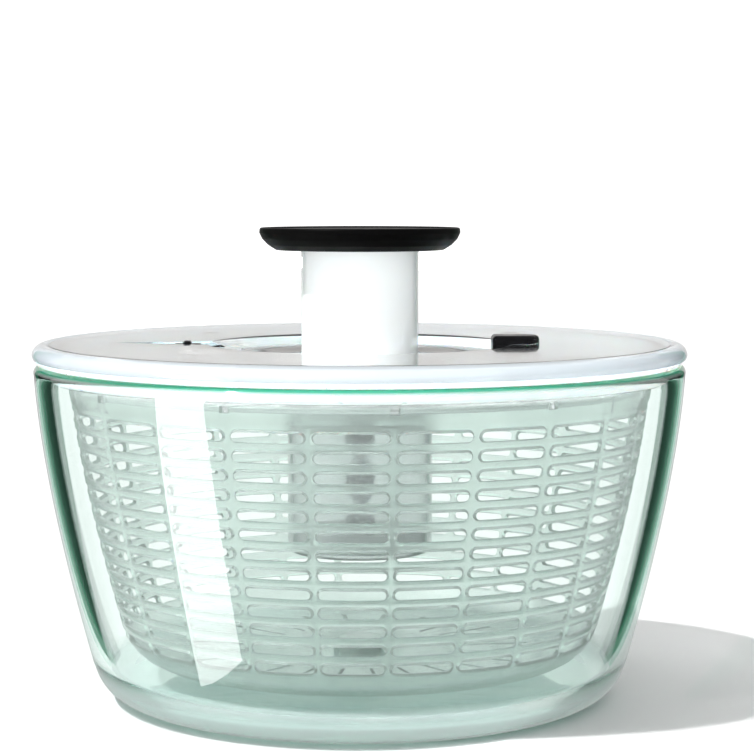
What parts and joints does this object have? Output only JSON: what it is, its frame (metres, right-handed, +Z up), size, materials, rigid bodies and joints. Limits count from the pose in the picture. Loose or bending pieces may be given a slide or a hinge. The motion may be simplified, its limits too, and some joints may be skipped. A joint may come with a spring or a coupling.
{
  "type": "salad spinner",
  "caption": "Glass bowl with a slotted basket inside and a clear lid whose pump plunger turns the basket; the lid has a brake button and a plunger lock.",
  "frame": {"origin": "centre of the bowl's underside, on the surface it stands on", "axes": "+Z up along the axis that the basket and the plunger share, +X towards the brake button, -X towards the plunger lock"},
  "size_m": [0.273, 0.273, 0.1955],
  "materials": {
    "glass": "clear soda glass with a slight green edge",
    "clear_plastic": "clear moulded plastic",
    "white_plastic": "white moulded plastic, gloss",
    "black_plastic": "black moulded plastic, satin",
    "soft_grip": "soft black grip, satin",
    "silicone": "translucent white silicone",
    "steel": "bright stainless steel"
  },
  "bodies": {
    "bowl": {"glass_bowl": "glass", "pivot_bush": "white_plastic"},
    "basket": {"basket": "clear_plastic"},
    "lid": {"lid_cover": "clear_plastic", "lid_base": "clear_plastic", "rim_seal": "silicone", "guide_sleeve": "white_plastic", "bearing_ring": "white_plastic", "lid_screw_1": "steel", "lid_screw_2": "steel", "lid_screw_3": "steel", "lid_screw_4": "steel"},
    "drive": {"drive_disc": "clear_plastic", "hub_cup": "clear_plastic", "ratchet_ring": "white_plastic", "hub_screw_1": "steel", "hub_screw_2": "steel", "hub_screw_3": "steel"},
    "shaft": {"twist_shaft": "steel", "spring_seat": "white_plastic", "shaft_screw": "steel", "clutch_hub": "white_plastic"},
    "plunger": {"plunger_tube": "white_plastic", "drive_nut": "white_plastic", "knob_core": "black_plastic", "knob_grip": "soft_grip", "knob_top": "black_plastic", "return_spring": "steel"},
    "brake": {"brake_button": "black_plastic", "brake_stem": "white_plastic", "brake_pad": "soft_grip", "brake_spring": "steel"},
    "lock": {"lock_tongue": "white_plastic", "lock_grip": "black_plastic"}
  },
  "joints": [
    {"name": "basket_spin", "type": "hinge", "parent": "bowl", "child": "basket", "pos_m": [0, 0, 0.0213], "axis": [0, 0, 1], "continuous": true},
    {"name": "lid_lift", "type": "slide", "parent": "bowl", "child": "lid", "axis": [0, 0, 1], "range_m": [0, 0.16]},
    {"name": "drive_spin", "type": "hinge", "parent": "lid", "child": "drive", "pos_m": [0, 0, 0.119], "axis": [0, 0, 1], "continuous": true},
    {"name": "plunger_slide", "type": "slide", "parent": "lid", "child": "plunger", "axis": [0, 0, 1], "range_m": [-0.042, 0], "stiffness_N_per_m": 200, "springref_m": 0.02, "deforming": ["return_spring"]},
    {"name": "shaft_spin", "type": "hinge", "parent": "lid", "child": "shaft", "pos_m": [0, 0, 0.063], "axis": [0, 0, 1], "range_deg": [-5, 365]},
    {"name": "brake_press", "type": "slide", "parent": "lid", "child": "brake", "axis": [0, 0, 1], "range_m": [-0.003, 0], "stiffness_N_per_m": 600, "springref_m": 0.003, "deforming": ["brake_spring"]},
    {"name": "lock_slide", "type": "slide", "parent": "lid", "child": "lock", "axis": [1, 0, 0], "range_m": [0, 0.004]}
  ],
  "couplings": [
    {"joint": "drive_spin", "follows": "basket_spin", "ratio": 1},
    {"joint": "shaft_spin", "follows": "plunger_slide", "rad_per_m": -149.6}
  ]
}
